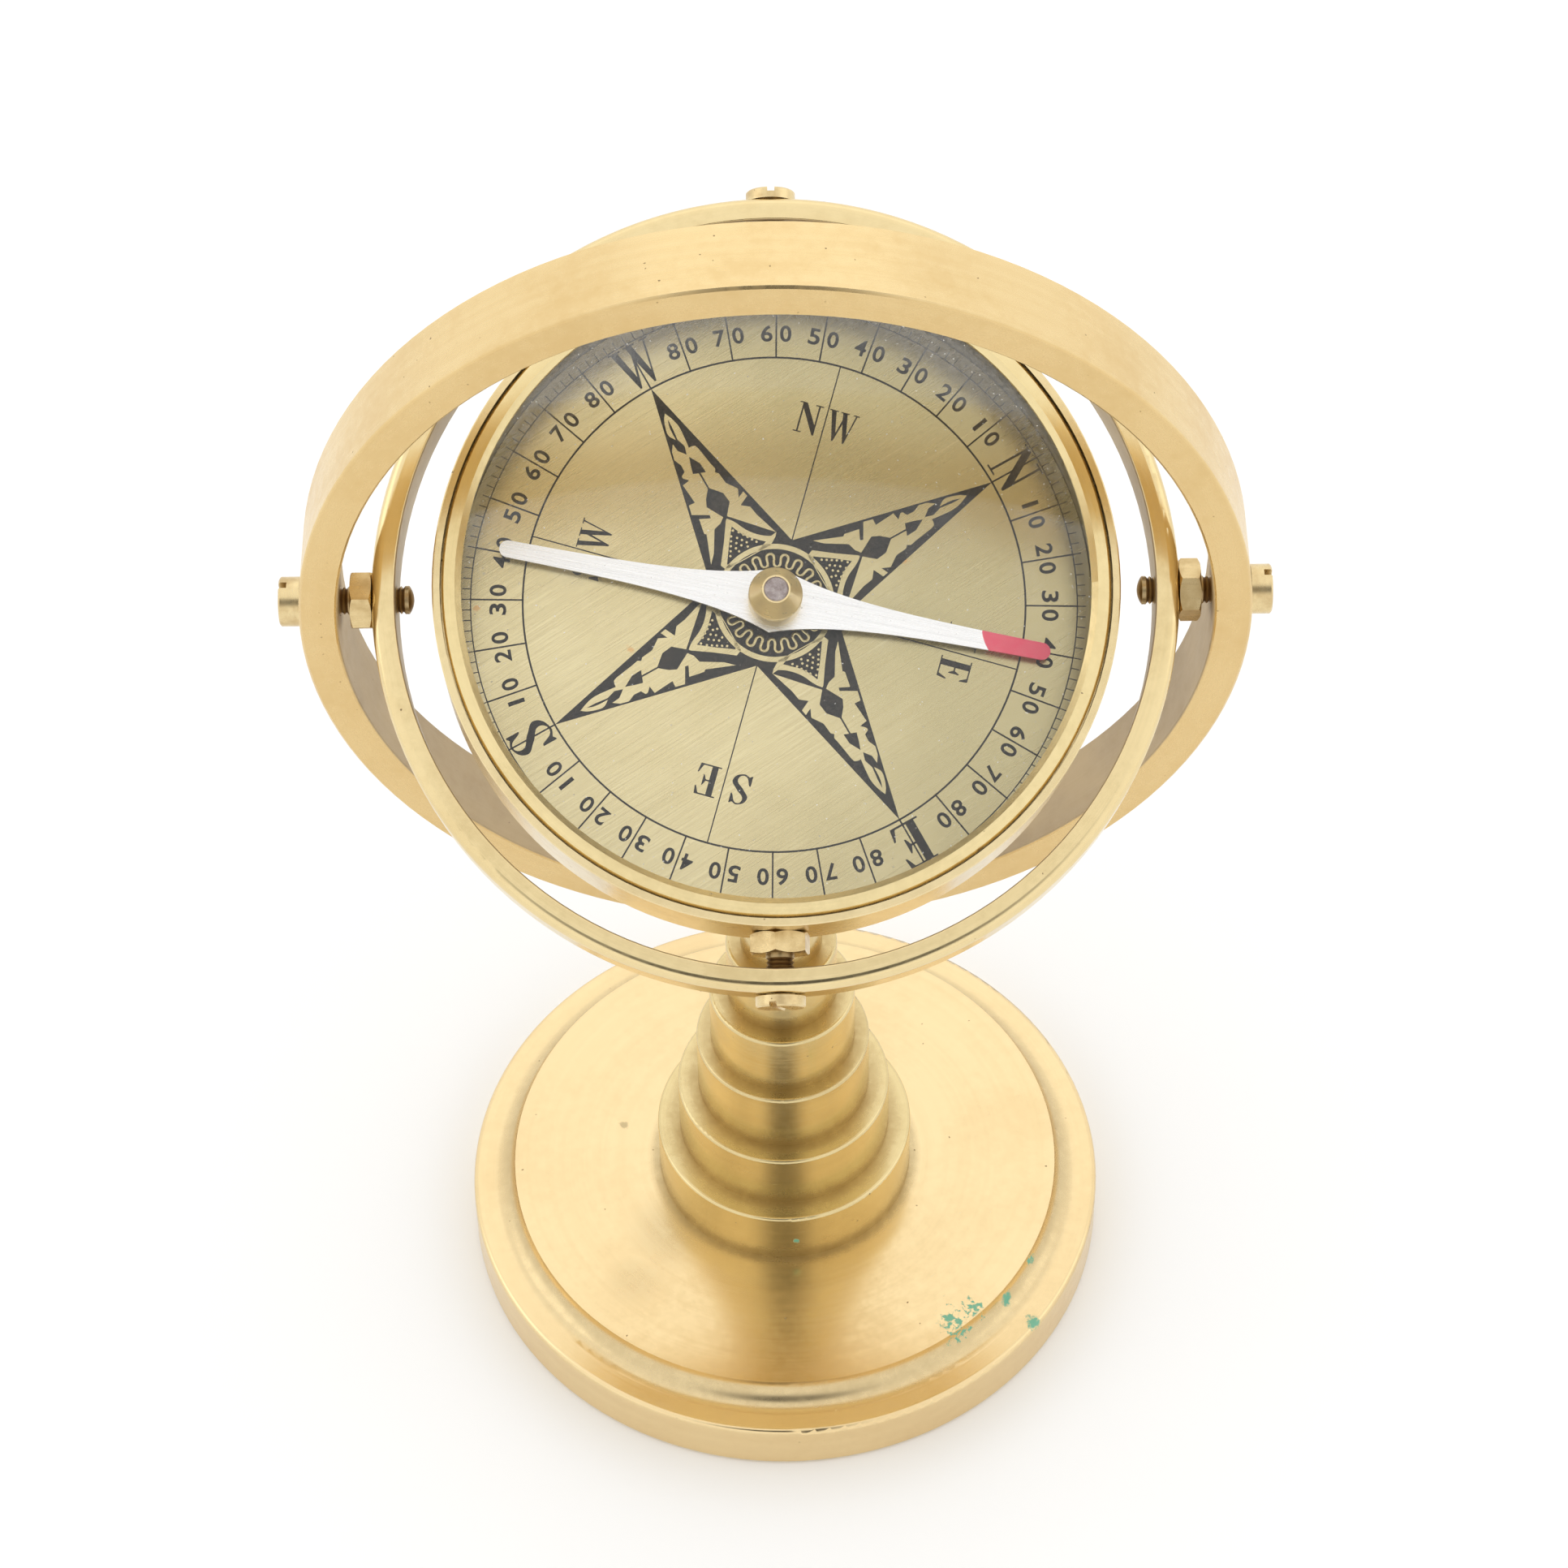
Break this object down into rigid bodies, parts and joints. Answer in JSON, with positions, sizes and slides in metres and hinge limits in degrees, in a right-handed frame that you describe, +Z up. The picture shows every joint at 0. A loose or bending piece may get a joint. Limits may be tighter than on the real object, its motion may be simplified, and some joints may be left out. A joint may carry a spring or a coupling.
{
  "type": "ship compass",
  "caption": "Brass table compass: a round glazed compass bowl hung in a gimbal ring inside an upright ring, on a stepped column and a round base.",
  "frame": {"origin": "centre of the base's underside, on the surface it stands on", "axes": "+Z up; X along the outer pivot screws, +X to the right as seen from the front; -Y is the front, the low side of the tilted bowl"},
  "size_m": [0.1152, 0.0854, 0.1782],
  "materials": {
    "base_brass": "satin turned",
    "column_brass": "satin turned",
    "ring_brass": "satin, lightly tarnished",
    "gimbal_brass": "polished, rounded edges",
    "bowl_brass": "satin turned",
    "bezel_brass": "bright turned",
    "dial_brass": "brushed, engraved black",
    "cap_brass": "polished",
    "screw_brass": "satin",
    "nut_brass": "dull, copper toned",
    "post_brass": "satin",
    "needle_steel": "brushed, one end painted red",
    "pin_steel": "ground",
    "bolt_steel": "dull",
    "jewel_stone": "polished stone",
    "cover_glass": "clear, dusty",
    "gasket": "matt"
  },
  "bodies": {
    "stand": {"base": "base_brass", "column": "column_brass", "base_washer": "bolt_steel", "base_bolt": "bolt_steel", "outer_ring": "ring_brass", "ring_screw": "screw_brass"},
    "gimbal_ring_body": {"gimbal_ring": "gimbal_brass", "left_pivot_screw": "screw_brass", "right_pivot_screw": "screw_brass", "left_pivot_nut": "nut_brass", "right_pivot_nut": "nut_brass"},
    "compass_bowl": {"bowl_cup": "bowl_brass", "glass_gasket": "gasket", "glass": "cover_glass", "bezel_ring": "bezel_brass", "dial_plate": "dial_brass", "pivot_post": "post_brass", "post_nut": "nut_brass", "pivot_pin": "pin_steel", "front_pivot_screw": "screw_brass", "rear_pivot_screw": "screw_brass", "front_pivot_nut": "nut_brass", "rear_pivot_nut": "nut_brass"},
    "needle": {"needle_blade": "needle_steel", "needle_cap": "cap_brass", "cap_washer": "post_brass", "needle_jewel": "jewel_stone"}
  },
  "joints": [
    {"name": "gimbal_tilt", "type": "hinge", "parent": "stand", "child": "gimbal_ring_body", "pos_m": [0, 0, 0.1232], "axis": [1, 0, 0], "continuous": true},
    {"name": "bowl_swing", "type": "hinge", "parent": "gimbal_ring_body", "child": "compass_bowl", "pos_m": [0, 0, 0.1232], "axis": [0, 0.8572, 0.515], "continuous": true},
    {"name": "needle_spin", "type": "hinge", "parent": "compass_bowl", "child": "needle", "pos_m": [0, 0, 0.1232], "axis": [0.0297, -0.5148, 0.8568], "continuous": true}
  ]
}
